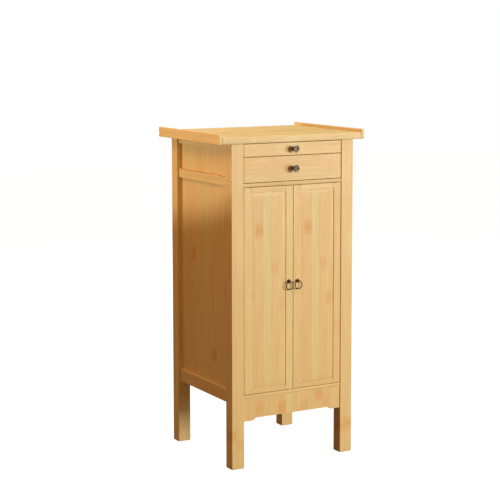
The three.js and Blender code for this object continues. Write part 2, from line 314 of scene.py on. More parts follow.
def slab(outline: Rectangle | Polygon, section: Section) -> Solid:
    """Carries a section round an outline and closes both ends with a flat face.

    Each section point gives one ring: the outline shrunk by the point's inset, at the point's height.
    A normal is the outline's normal times the cosine of the tilt, plus the thickness direction times
    its sine.

    Args:
        outline: the outline in the plane of the slab.
        section: the profile across the slab's edge.

    Returns:
        The closed surface, with its thickness along the third axis.
    """
    rings = np.stack([outline.ring(inset) for inset in section.inset])
    rows, count = rings.shape[:2]
    height = np.broadcast_to(section.height[:, None, None], (rows, count, 1))
    sideways = np.cos(section.tilt)[:, None, None] * outline.normals
    upright = np.broadcast_to(np.sin(section.tilt)[:, None, None], (rows, count, 1))
    rim = np.maximum(section.rim[:, None], outline.rim[None, :] * np.cos(section.tilt)[:, None])
    back = list(range(count))[::-1]
    face = list(range((rows - 1) * count, rows * count))
    return Solid(
        np.concatenate([rings, height], 2).reshape(-1, 3),
        wrapped_quads(rows, count).tolist() + [back, face],
        np.concatenate([sideways, upright], 2).reshape(-1, 3),
        rim.ravel(),
    )


def round_the_axis(radius: np.ndarray, reach: np.ndarray, turn: np.ndarray) -> np.ndarray:
    """Points or normals turned about the third axis: radius times cosine and sine, at the reach.

    Args:
        radius: distance from the axis, one value for each row.
        reach: place along the axis, one value for each row.
        turn: angles round the axis, one for each column.

    Returns:
        A grid of rows by columns by three.
    """
    flat = [radius[:, None] * np.cos(turn), radius[:, None] * np.sin(turn)]
    return np.stack([*flat, np.broadcast_to(reach[:, None], flat[0].shape)], 2)


def outward(profile: np.ndarray, closed: bool) -> tuple[np.ndarray, np.ndarray]:
    """Normals of a profile, and how sharply it turns outwards at each point.

    The normal stands at a right angle to the line between a point's neighbours. The sharpness is the
    angle between the two segments at the point, as a share of the angle that a rubbed ridge has.

    Args:
        profile: rows of radius and reach, with the solid on the left.
        closed: whether the last point joins the first.

    Returns:
        Unit normals, and sharpness from 0 to 1.
    """
    ridge_angle = 0.3
    padded = np.pad(profile, ((1, 1), (0, 0)), mode="wrap" if closed else "edge")
    before = profile - padded[:-2]
    after = padded[2:] - profile
    along = before + after
    normals = np.stack([along[:, 1], -along[:, 0]], 1)
    normals = normals / np.maximum(np.linalg.norm(normals, axis=1, keepdims=True), 1e-12)
    cross = before[:, 0] * after[:, 1] - before[:, 1] * after[:, 0]
    bend = np.arctan2(cross, (before * after).sum(1))
    return normals, np.clip(bend / ridge_angle, 0, 1)


def turned(profile: np.ndarray, sides: int) -> Solid:
    """A profile turned about the third axis, from one point on the axis to another.

    Args:
        profile: rows of radius and reach, from the foot to the tip.
        sides: steps round the axis.

    Returns:
        The closed surface, with one point at each pole.
    """
    normals, bend = outward(profile, closed=False)
    turn = np.linspace(0, 2 * math.pi, sides, endpoint=False)
    inner = profile[1:-1]
    rows = len(inner)
    rings = round_the_axis(inner[:, 0], inner[:, 1], turn).reshape(-1, 3)
    facing = round_the_axis(normals[1:-1, 0], normals[1:-1, 1], turn).reshape(-1, 3)
    here = np.arange(sides)
    beside = (here + 1) % sides
    top = (rows - 1) * sides
    foot = np.stack([beside, here, np.full(sides, rows * sides)], 1)
    tip = np.stack([top + here, top + beside, np.full(sides, rows * sides + 1)], 1)
    return Solid(
        np.concatenate([rings, [[0, 0, profile[0, 1]], [0, 0, profile[-1, 1]]]]),
        wrapped_quads(rows, sides).tolist() + foot.tolist() + tip.tolist(),
        np.concatenate([facing, [[0, 0, -1], [0, 0, 1]]]),
        np.concatenate([np.repeat(bend[1:-1], sides), [0, 0]]),
    )


def turned_loop(loop: np.ndarray, rim: np.ndarray, sides: int) -> Solid:
    """A closed loop of radius and reach turned about the third axis, as a ring.

    Args:
        loop: rows of radius and reach, counter-clockwise.
        rim: how much each point of the loop is rubbed.
        sides: steps round the axis.

    Returns:
        The closed surface.
    """
    normals, _ = outward(loop, closed=True)
    turn = np.linspace(0, 2 * math.pi, sides, endpoint=False)
    return Solid(
        round_the_axis(loop[:, 0], loop[:, 1], turn).reshape(-1, 3),
        wrapped_quads(len(loop), sides, close_rows=True).tolist(),
        round_the_axis(normals[:, 0], normals[:, 1], turn).reshape(-1, 3),
        np.repeat(rim, sides),
    )


def softened(profile: np.ndarray, passes: int) -> np.ndarray:
    """Cuts the corners of a profile: each segment keeps its middle half, and the ends stay.

    Args:
        profile: rows of radius and reach.
        passes: how often the corners are cut.

    Returns:
        The smoother profile.
    """
    for _ in range(passes):
        near = 0.75 * profile[:-1] + 0.25 * profile[1:]
        far = 0.25 * profile[:-1] + 0.75 * profile[1:]
        middle = np.stack([near, far], 1).reshape(-1, 2)
        profile = np.concatenate([profile[:1], middle, profile[-1:]])
    return profile


def put_attribute(mesh: bpy.types.Mesh, name: str, values: np.ndarray) -> None:
    """Stores a number or a vector for each point of a mesh.

    Args:
        mesh: the mesh that keeps the values.
        name: the attribute's name.
        values: one number or one row of three for each point.
    """
    kind, key = ("FLOAT", "value") if values.ndim == 1 else ("FLOAT_VECTOR", "vector")
    layer = mesh.attributes.new(name, kind, "POINT")
    layer.data.foreach_set(key, values.astype(np.float32).ravel())


def make_piece(
    name: str,
    solid: Solid,
    material: bpy.types.Material,
    node: str,
) -> bpy.types.Object:
    """Makes the object of a piece, which stands for a node and rides on that node's body.

    Args:
        name: the piece's name.
        solid: its surface in the frame.
        material: its finish.
        node: the node that it stands for.

    Returns:
        The object, at the origin, with its place in its mesh.
    """
    mesh = bpy.data.meshes.new(name)
    mesh.from_pydata(solid.points.tolist(), [], solid.faces)
    mesh.polygons.foreach_set("use_smooth", np.ones(len(solid.faces), bool))
    put_attribute(mesh, "rim", solid.rim)
    mesh.normals_split_custom_set_from_vertices(solid.normals.tolist())
    mesh.materials.append(material)
    piece = bpy.data.objects.new(name, mesh)
    bpy.context.scene.collection.objects.link(piece)
    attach(piece, frame["nodes"][node]["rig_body"])
    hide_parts(node)
    log.info("%s: %d faces", name, len(solid.faces))
    return piece


Feed = bpy.types.NodeSocket | float | tuple


class Tree:
    """Lays nodes in a shader tree. A value may be a number, a colour or another node's socket."""

    def __init__(self, tree: bpy.types.NodeTree) -> None:
        """Keeps the tree."""
        self.tree = tree

    def node(self, kind: str, feeds: dict | None = None, **settings: object) -> bpy.types.Node:
        """Adds a node.

        Args:
            kind: the node's type, without the leading ShaderNode.
            feeds: values of its inputs by name or number.
            settings: its own properties.

        Returns:
            The node.
        """
        node = self.tree.nodes.new("ShaderNode" + kind)
        for key, value in settings.items():
            setattr(node, key, value)
        for key, value in (feeds or {}).items():
            self.feed(node.inputs[key], value)
        return node

    def feed(self, socket: bpy.types.NodeSocket, value: Feed) -> None:
        """Links a socket to another, or sets its value."""
        if isinstance(value, bpy.types.NodeSocket):
            self.tree.links.new(value, socket)
        else:
            socket.default_value = value

    def math(self, operation: str, *values: Feed) -> bpy.types.NodeSocket:
        """The result of a Math node on the values."""
        return self.node("Math", dict(enumerate(values)), operation=operation).outputs[0]

    def ramp(
        self,
        value: Feed,
        low: Feed,
        high: Feed,
        start: Feed = 0.0,
        end: Feed = 1.0,
    ) -> bpy.types.NodeSocket:
        """A smooth step: start below low, end above high.

        Args:
            value: what is tested.
            low: where the step begins.
            high: where it ends.
            start: the result below it.
            end: the result above it.

        Returns:
            The socket with the result.
        """
        feeds = {"Value": value, "From Min": low, "From Max": high, "To Min": start, "To Max": end}
        return self.node("MapRange", feeds, interpolation_type="SMOOTHSTEP").outputs[0]

    def mix(self, share: Feed, first: Feed, second: Feed, kind: str = "MIX") -> bpy.types.NodeSocket:
        """Blends two colours.

        Args:
            share: how much of the second.
            first: the first colour.
            second: the second colour.
            kind: the way they blend.

        Returns:
            The socket with the colour.
        """
        node = self.node("Mix", data_type="RGBA", blend_type=kind)
        for name, value in (("Factor_Float", share), ("A_Color", first), ("B_Color", second)):
            self.feed(next(socket for socket in node.inputs if socket.identifier == name), value)
        return next(socket for socket in node.outputs if socket.identifier == "Result_Color")

    def noise(self, vector: Feed, scale: float, detail: float = 2.0) -> bpy.types.NodeSocket:
        """A noise value, about 0 to 1, at a vector times a scale."""
        return self.node("TexNoise", {"Vector": vector, "Scale": scale, "Detail": detail}).outputs[0]

    def vector(self, x: Feed, y: Feed, z: Feed) -> bpy.types.NodeSocket:
        """A vector from three values."""
        return self.node("CombineXYZ", {"X": x, "Y": y, "Z": z}).outputs[0]

    def parts(self, vector: Feed) -> tuple:
        """The three values of a vector."""
        return tuple(self.node("SeparateXYZ", {"Vector": vector}).outputs)

    def attribute(self, name: str) -> bpy.types.Node:
        """The node that reads one of a piece's own attributes."""
        return self.node("Attribute", attribute_name=name)

    def group(self, group: bpy.types.NodeTree, feeds: dict) -> bpy.types.Node:
        """Places a node group with its values."""
        return self.node("Group", feeds, node_tree=group)


def new_group(name: str, takes: dict, gives: dict) -> tuple[Tree, dict, bpy.types.Node]:
    """Makes a shader node group with named sockets.

    Args:
        name: the group's name.
        takes: kind of each input by name.
        gives: kind of each output by name.

    Returns:
        The group's tree, its input sockets by name, and its output node.
    """
    group = bpy.data.node_groups.new(name, "ShaderNodeTree")
    for label, kind in takes.items():
        group.interface.new_socket(label, in_out="INPUT", socket_type="NodeSocket" + kind)
    for label, kind in gives.items():
        group.interface.new_socket(label, in_out="OUTPUT", socket_type="NodeSocket" + kind)
    taken = group.nodes.new("NodeGroupInput")
    given = group.nodes.new("NodeGroupOutput")
    return Tree(group), {label: taken.outputs[label] for label in takes}, given


def laid_bamboo_group() -> bpy.types.NodeTree:
    """Bamboo strips glued side by side in plies, with fibres, glue lines and knuckle marks.

    A point's strip is the whole part of its place across over the strip width, and its ply is the whole
    part of its depth over the ply thickness. Each strip draws its own tone, tint, and the places of its
    knuckles, which repeat along it. Where Ordered is 1, Draw and Strength give the tone, the tint, and
    the place and strength of the one knuckle instead. Fibres are noise stretched along the strip.

    Returns:
        The group, with a colour and a height.
    """
    knuckle_core = 4 * MM
    knuckle_half = 30 * MM
    knuckle_line = 1.6 * MM
    knuckle_wobble = 14 * MM
    glue_line = 0.5 * MM
    line_darkness = 0.12
    fibre_stretch = 0.012
    takes = {
        "Lay": "Vector",
        "Tone": "Float",
        "Draw": "Color",
        "Strength": "Float",
        "Ordered": "Float",
        "Pale": "Color",
        "Deep": "Color",
        "Green": "Color",
        "Amber": "Color",
        "Contrast": "Float",
        "Knuckles": "Float",
    }
    tree, taken, given = new_group("laid_bamboo", takes, {"Color": "Color", "Height": "Float"})
    across, along, through = tree.parts(taken["Lay"])
    depth = tree.math("DIVIDE", through, PLY_THICKNESS)
    ply = tree.math("FLOOR", depth)
    shifted = tree.math("MULTIPLY", ply, PLY_STAGGER)
    place = tree.math("ADD", tree.math("DIVIDE", across, STRIP_WIDTH), shifted)
    strip = tree.math("FLOOR", place)
    draw = tree.node("TexWhiteNoise", {"Vector": tree.vector(strip, ply, 0.5)}, noise_dimensions="3D")
    drawn = tree.mix(taken["Ordered"], draw.outputs["Color"], taken["Draw"])
    chance, tint, start = tree.node("SeparateColor", {"Color": drawn}).outputs

    # Tone of the strip, and its slow change along the strip
    calm = tree.vector(tree.math("MULTIPLY", strip, 3.7), tree.math("MULTIPLY", along, 4.0), ply)
    slow = tree.noise(calm, 1.0)
    spread = tree.math("MULTIPLY", tree.math("SUBTRACT", chance, 0.5), taken["Contrast"])
    drift = tree.math("MULTIPLY", tree.math("SUBTRACT", slow, 0.5), 0.5)
    share = tree.math("ADD", tree.math("ADD", spread, drift), taken["Tone"])
    toned = tree.mix(tree.ramp(share, 0.0, 1.0), taken["Pale"], taken["Deep"])
    tinted = tree.mix(tree.ramp(tint, 0.35, 1.0, 0.0, 0.8), toned, taken["Green"])

    # Fibres along the strip, coarse and fine
    stretched = tree.vector(across, tree.math("MULTIPLY", along, fibre_stretch), through)
    coarse = tree.noise(stretched, 420.0, 3.0)
    fine = tree.noise(stretched, 2600.0, 2.0)
    fibre = tree.math("ADD", tree.math("MULTIPLY", coarse, 0.6), tree.math("MULTIPLY", fine, 0.4))
    streak = tree.ramp(fibre, 0.34, 0.68, 0.87, 1.08)

    # Knuckles: a soft band with a fine line across the strip. On a chosen strip there is only one.
    least, most = KNUCKLE_PERIOD
    period = tree.math("MULTIPLY_ADD", chance, most - least, least)
    turn = tree.math("ADD", tree.math("DIVIDE", along, period), tree.math("MULTIPLY", start, 7.0))
    repeated = tree.math("MULTIPLY", tree.math("SUBTRACT", turn, tree.math("ROUND", turn)), period)
    single = tree.math("SUBTRACT", along, tree.math("MULTIPLY", start, STRIP_LENGTH))
    off = tree.ramp(taken["Ordered"], 0.0, 1.0, repeated, single)
    shake = tree.math("SUBTRACT", tree.noise(taken["Lay"], 70.0), 0.5)
    wobble = tree.math("MULTIPLY", shake, knuckle_wobble)
    away = tree.math("ABSOLUTE", tree.math("ADD", off, wobble))
    band = tree.ramp(away, knuckle_core, knuckle_half, 1.0, 0.0)
    line = tree.ramp(away, 0.0, knuckle_line, 1.0, 0.0)
    by_chance = tree.ramp(draw.outputs["Value"], 0.5, 1.0, 0.0, 1.0)
    wanted = tree.ramp(taken["Ordered"], 0.0, 1.0, by_chance, taken["Strength"])
    strength = tree.math("MULTIPLY", wanted, taken["Knuckles"])
    mottled = tree.math("MULTIPLY", band, tree.ramp(coarse, 0.35, 0.65, 0.45, 1.0))
    knuckle = tree.math("MULTIPLY", mottled, strength)
    marked = tree.mix(knuckle, tinted, taken["Amber"])

    # Glue lines between strips and between plies
    to_seam = tree.math("MULTIPLY", tree.math("PINGPONG", place, 0.5), STRIP_WIDTH)
    to_ply = tree.math("MULTIPLY", tree.math("PINGPONG", depth, 0.5), PLY_THICKNESS)
    seam = tree.ramp(tree.math("MINIMUM", to_seam, to_ply), 0.0, glue_line, 1.0, 0.0)
    scar = tree.math("MULTIPLY", line, strength)
    dark = tree.math("SUBTRACT", streak, tree.math("MULTIPLY", seam, line_darkness))
    dark = tree.math("SUBTRACT", dark, tree.math("MULTIPLY", scar, line_darkness))
    grey = tree.node("CombineColor", {"Red": dark, "Green": dark, "Blue": dark}).outputs[0]
    tree.feed(given.inputs["Color"], tree.mix(1.0, marked, grey, "MULTIPLY"))
    raised = tree.math("ADD", tree.math("MULTIPLY", fibre, 0.35), tree.math("MULTIPLY", scar, 0.5))
    tree.feed(given.inputs["Height"], tree.math("SUBTRACT", raised, tree.math("MULTIPLY", seam, 0.5)))
    return tree.tree


def rubbed_edge_group() -> bpy.types.NodeTree:
    """Lightening along the rim of a piece, broken up by noise in two sizes: a painted highlight on the
    bamboo's rolled edges, partly rubbed lacquer, and wear on the bronze's ridges.

    Returns:
        The group, with a mask.
    """
    tree, taken, given = new_group("rubbed_edge", {"Rim": "Float", "Amount": "Float"}, {"Mask": "Float"})
    here = tree.node("TexCoord").outputs["Object"]
    patches = tree.ramp(tree.noise(here, 35.0), 0.3, 0.65, 0.35, 1.0)
    nicks = tree.ramp(tree.noise(here, 420.0, 3.0), 0.3, 0.6, 0.6, 1.0)
    worn = tree.math("MULTIPLY", tree.math("MULTIPLY", patches, nicks), taken["Rim"])
    tree.feed(given.inputs["Mask"], tree.math("MULTIPLY", worn, taken["Amount"]))
    return tree.tree


def handling_group() -> bpy.types.NodeTree:
    """Haze that hands and dusting leave on a finish: broad clouds with fine smudges in them.

    Returns:
        The group, with the haze and a fine grain for bumps.
    """
    tree, _, given = new_group("handling", {}, {"Haze": "Float", "Grain": "Float"})
    here = tree.node("TexCoord").outputs["Object"]
    clouds = tree.ramp(tree.noise(here, 7.0, 3.0), 0.3, 0.7)
    smudges = tree.ramp(tree.noise(here, 60.0, 4.0), 0.35, 0.7)
    haze = tree.math("ADD", tree.math("MULTIPLY", clouds, 0.6), tree.math("MULTIPLY", smudges, 0.4))
    tree.feed(given.inputs["Haze"], haze)
    tree.feed(given.inputs["Grain"], tree.noise(here, 1500.0, 3.0))
    return tree.tree


@dataclass(frozen=True)
class Effects:
    """The node groups that the finishes share."""

    bamboo: bpy.types.NodeTree
    edge: bpy.types.NodeTree
    handling: bpy.types.NodeTree


@dataclass(frozen=True)
class Strip:
    """One chosen bamboo strip: its tone, its tint, the place of its knuckle and how strong that is.

    Tone runs from pale to deep and tint from warm to green, both from 0 to 1. The place is measured
    along the strip from its lower end.
    """

    tone: float
    tint: float
    knuckle: float
    strength: float

    @property
    def draw(self) -> tuple:
        """What the strip would have drawn by chance, as a colour.

        The knuckle's place is kept as a share of STRIP_LENGTH, and its strength as the alpha.
        """
        return (self.tone, self.tint, self.knuckle / STRIP_LENGTH, self.strength)


def strips_in_order(count: int, chosen: dict) -> tuple:
    """Plain strips side by side, with chosen ones among them.

    Args:
        count: how many strips there are.
        chosen: the chosen strips by their number from the board's first edge.

    Returns:
        All the strips in their order.
    """
    plain = Strip(0.48, 0.35, 0.0, 0.0)
    return tuple(chosen.get(number, plain) for number in range(count))


def door_strips(first: Strip, last: Strip) -> tuple:
    """The five strips of a door panel, of which both doors share the middle three."""
    shared = (Strip(0.62, 0.2, 0.474, 1.0), Strip(0.3, 0.85, 0.1, 0.0), Strip(0.5, 0.3, 0.358, 0.45))
    return first, *shared, last


@dataclass(frozen=True)
class Bamboo:
    """Satin lacquered bamboo, glued up from strips by chance or in a chosen order."""

    name: str
    pale: tuple = (0.85, 0.60, 0.245, 1)
    deep: tuple = (0.76, 0.47, 0.16, 1)
    green: tuple = (0.78, 0.62, 0.25, 1)
    amber: tuple = (0.74, 0.31, 0.035, 1)
    # Colour of the rolled edges: a painted highlight, partly rubbed lacquer
    worn: tuple = (0.93, 0.70, 0.36, 1)
    order: tuple = ()
    contrast: float = 0.4
    knuckles: float = 0.6
    wear: float = 0.5
    gloss_low: float = 0.42
    gloss_high: float = 0.54
    coat: float = 0.1
    coat_roughness: float = 0.25
    relief: float = 0.12 * MM

    def material(self, effects: Effects) -> bpy.types.Material:
        """Makes the material.

        Args:
            effects: the shared node groups.

        Returns:
            The material.
        """
        material = bpy.data.materials.new(self.name)
        material.use_nodes = True
        tree = Tree(material.node_tree)
        shader = material.node_tree.nodes["Principled BSDF"]
        draw, strength = self.chosen(tree)
        laid = tree.group(effects.bamboo, {
            "Lay": tree.attribute("lay").outputs["Vector"],
            "Tone": tree.attribute("tone").outputs["Fac"],
            "Draw": draw,
            "Strength": strength,
            "Ordered": 1.0 if self.order else 0.0,
            "Pale": self.pale,
            "Deep": self.deep,
            "Green": self.green,
            "Amber": self.amber,
            "Contrast": self.contrast,
            "Knuckles": self.knuckles,
        })
        rim = tree.attribute("rim").outputs["Fac"]
        # Lighter rolled edges: a painted highlight, partly rubbed lacquer
        worn = tree.group(effects.edge, {"Rim": rim, "Amount": self.wear}).outputs["Mask"]
        handled = tree.group(effects.handling, {})
        colour = tree.mix(worn, laid.outputs["Color"], self.worn)
        rough = tree.ramp(handled.outputs["Haze"], 0.1, 0.9, self.gloss_low, self.gloss_high)
        height = laid.outputs["Height"]
        bump = tree.node("Bump", {"Height": height, "Distance": self.relief, "Strength": 1.0})
        tree.feed(shader.inputs["Base Color"], colour)
        tree.feed(shader.inputs["Roughness"], rough)
        tree.feed(shader.inputs["Normal"], bump.outputs["Normal"])
        shader.inputs["Coat Weight"].default_value = self.coat
        shader.inputs["Coat Roughness"].default_value = self.coat_roughness
        return material

    def chosen(self, tree: Tree) -> tuple[Feed, Feed]:
        """The draws of the chosen strips, as a ramp with one step for each strip.

        Args:
            tree: the material's tree.

        Returns:
            The ramp's colour and its alpha, or plain values where no order is chosen.
        """
        if not self.order:
            return (0.5, 0.5, 0.5, 1), 0.0
        across = tree.parts(tree.attribute("lay").outputs["Vector"])[0]
        share = tree.math("DIVIDE", across, STRIP_WIDTH * len(self.order))
        node = tree.node("ValToRGB", {"Fac": share})
        node.color_ramp.interpolation = "CONSTANT"
        steps = node.color_ramp.elements
        steps.remove(steps[-1])
        for number, strip in enumerate(self.order):
            step = steps[0] if number == 0 else steps.new(number / len(self.order))
            step.position = number / len(self.order)
            step.color = strip.draw
        return node.outputs["Color"], node.outputs["Alpha"]


@dataclass(frozen=True)
class Metal:
    """A metal with a patina that is rubbed away on its ridges."""

    name: str
    base: tuple
    patina: tuple
    bright: tuple
    metallic: float
    rough: float
    wear: float
    relief: float = 0.05 * MM

    def material(self, effects: Effects) -> bpy.types.Material:
        """Makes the material.

        Args:
            effects: the shared node groups.

        Returns:
            The material.
        """
        material = bpy.data.materials.new(self.name)
        material.use_nodes = True
        tree = Tree(material.node_tree)
        shader = material.node_tree.nodes["Principled BSDF"]
        handled = tree.group(effects.handling, {})
        rim = tree.attribute("rim").outputs["Fac"]
        # On the bronze the same mask is wear on the ridges
        worn = tree.group(effects.edge, {"Rim": rim, "Amount": self.wear}).outputs["Mask"]
        aged = tree.mix(handled.outputs["Haze"], self.base, self.patina)
        tree.feed(shader.inputs["Base Color"], tree.mix(worn, aged, self.bright))
        dull = tree.math("ADD", self.rough, tree.math("MULTIPLY", handled.outputs["Haze"], 0.14))
        polished = tree.math("SUBTRACT", dull, tree.math("MULTIPLY", worn, 0.12))
        tree.feed(shader.inputs["Roughness"], polished)
        grain = handled.outputs["Grain"]
        bump = tree.node("Bump", {"Height": grain, "Distance": self.relief, "Strength": 1.0})
        tree.feed(shader.inputs["Normal"], bump.outputs["Normal"])
        shader.inputs["Metallic"].default_value = self.metallic
        return material


class Stock(Enum):
    """The cuts of bamboo, with the record's slot for each."""

    FRAME = "bamboo_frame"
    PANEL = "bamboo_panel"
    INNER = "bamboo_inner"


BAMBOO_FINISHES = {
    Stock.FRAME: Bamboo("bamboo_frame_satin", green=(0.82, 0.615, 0.25, 1), contrast=0.3, knuckles=0.25),
    Stock.PANEL: Bamboo("bamboo_panel_satin"),
    Stock.INNER: Bamboo("bamboo_inner_dull", gloss_low=0.5, gloss_high=0.65, coat=0.05),
}

BRONZE = Metal(
    "antique_bronze_patina",
    base=(0.115, 0.05, 0.028, 1),
    patina=(0.035, 0.017, 0.012, 1),
    bright=(0.42, 0.22, 0.12, 1),
    metallic=0.85,
    rough=0.36,
    wear=0.45,
)
KNOB_BRONZE = Metal(
    "antique_bronze_knob",
    base=(0.13, 0.085, 0.05, 1),
    patina=(0.04, 0.026, 0.018, 1),
    bright=(0.6, 0.5, 0.36, 1),
    metallic=0.85,
    rough=0.36,
    wear=0.95,
)
STEEL = Metal(
    "pin_steel",
    base=(0.42, 0.41, 0.40, 1),
    patina=(0.30, 0.29, 0.28, 1),
    bright=(0.6, 0.6, 0.6, 1),
    metallic=1.0,
    rough=0.3,
    wear=0.0,
)

# Boards whose strips are chosen, from the left edge or, on the side panel, from the front edge
ORDERS = {
    "door_left_panel": door_strips(Strip(0.45, 0.3, 0.28, 0.25), Strip(0.4, 0.3, 0.25, 0.35)),
    "door_right_panel": door_strips(Strip(0.45, 0.3, 0.12, 0.0), Strip(0.4, 0.3, 0.25, 0.5)),
    "front_apron": strips_in_order(14, {
        2: Strip(0.55, 0.3, 0.031, 0.5),
        5: Strip(0.6, 0.3, 0.028, 0.65),
        6: Strip(0.35, 0.8, 0.0, 0.0),
        8: Strip(0.52, 0.3, 0.026, 0.45),
        10: Strip(0.55, 0.3, 0.052, 0.65),
        11: Strip(0.52, 0.4, 0.026, 0.4),
        12: Strip(0.4, 0.5, 0.0, 0.0),
    }),
    "side_panel_lower_left": strips_in_order(13, {
        1: Strip(0.6, 0.2, 0.29, 0.6),
        2: Strip(0.6, 0.2, 0.0, 0.0),
        4: Strip(0.5, 0.4, 0.085, 1.0),
        5: Strip(0.35, 0.6, 0.0, 0.0),
        6: Strip(0.25, 0.9, 0.0, 0.0),
        8: Strip(0.5, 0.3, 0.24, 0.4),
        9: Strip(0.7, 0.2, 0.38, 0.9),
        10: Strip(0.65, 0.2, 0.36, 0.3),
    }),
    "post_front_left": (Strip(0.55, 0.2, 0.1, 0.7), Strip(0.45, 0.4, 0.075, 0.3)),
    "post_front_right": (Strip(0.45, 0.4, 0.085, 0.6), Strip(0.5, 0.3, 0.09, 0.7)),
}
ORDERED_KNUCKLES = 0.85


@dataclass
class Joiner:
    """Saws, rolls and lays out the bamboo boards.

    Each board draws its own strips: its place across the strips moves on by whole strips, its place
    along them by an odd length, and its tone by a small random amount.
    """

    materials: dict
    ordered: dict
    chance: np.random.Generator = field(default_factory=lambda: np.random.default_rng(20))
    tone_middle: float = 0.4
    tone_spread: float = 0.1
    first_cut: float = 11.5 * MM
    corner_play: float = 0.02 * MM

    def dress(self, piece: bpy.types.Object, own: np.ndarray, node: str, tone: float) -> None:
        """Stores a board's place across, along and through its strips, and its tone.

        A board whose strips are in a chosen order starts at its own corner, with its first strip cut
        narrower than the rest.

        Args:
            piece: the board.
            own: its points along its own axes: across, along, and depth under its face.
            node: the node that it stands for.
            tone: what is added to its tone, where 0 is pale and 1 is deep.
        """
        start = [self.chance.integers(0, 400) * STRIP_WIDTH, self.chance.uniform(0, 8), FIRST_PLY]
        if node in self.ordered:
            start = [self.first_cut, 0, FIRST_PLY]
        drawn = self.tone_middle + tone + self.chance.uniform(-1, 1) * self.tone_spread
        put_attribute(piece.data, "lay", own + start)
        put_attribute(piece.data, "tone", np.full(len(own), drawn))

    def board(
        self,
        node: str,
        stock: Stock,
        grain: Axis,
        face: Axis,
        edge: float,
        tone: float = 0.0,
        section: Section | None = None,
    ) -> None:
        """A rectangular board that fills a node's box.

        Args:
            node: the node that it stands for.
            stock: the cut of bamboo.
            grain: the axis that its fibres follow.
            face: the axis of its thickness.
            edge: radius of its rolled edges.
            tone: what is added to its tone.
            section: the profile of its edges, if it isn't just rolled.
        """
        low, high = (np.array(corner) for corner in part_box(node))
        across = next(axis for axis in Axis if axis not in (grain, face))
        size = (high - low)[[across.value, grain.value, face.value]]
        solid = slab(Rectangle(size[0], size[1], edge), section or rolled_section(size[2], edge))
        axes = np.stack([across.arrow, grain.arrow, face.arrow])
        placed = solid.placed(axes, (low + high) / 2)
        material = self.ordered.get(node, self.materials[stock])
        piece = make_piece("bamboo_" + node, placed, material, node)
        self.dress(piece, solid.points + size / 2, node, tone)

    def shaped(
        self,
        node: str,
        stock: Stock,
        corners: np.ndarray,
        grain: Axis,
        face: Axis,
        edge: float,
        tone: float = 0.0,
    ) -> None:
        """A board with an outline of its own, which is as thick as its node.

        Args:
            node: the node that it stands for.
            stock: the cut of bamboo.
            corners: the outline's corners in the two axes beside the thickness, in the frame's order.
            grain: the axis that its fibres follow.
            face: the axis of its thickness.
            edge: radius of its rolled edges and corners.
            tone: what is added to its tone.
        """
        low, high = (np.array(corner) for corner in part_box(node))
        first, second = (axis for axis in Axis if axis is not face)
        after = np.roll(corners, -1, axis=0)
        area = (corners[:, 0] * after[:, 1] - corners[:, 1] * after[:, 0]).sum()
        outline = Polygon(corners if area > 0 else corners[::-1], edge + self.corner_play)
        solid = slab(outline, rolled_section((high - low)[face.value], edge))
        axes = np.stack([first.arrow, second.arrow, face.arrow])
        placed = solid.placed(axes, (low + high) / 2 * face.arrow)
        material = self.ordered.get(node, self.materials[stock])
        piece = make_piece("bamboo_" + node, placed, material, node)
        across = next(axis for axis in Axis if axis not in (grain, face))
        depth = next(axis for axis in Axis if axis not in (grain, across))
        self.dress(piece, (placed.points - low)[:, [across.value, grain.value, depth.value]], node, tone)


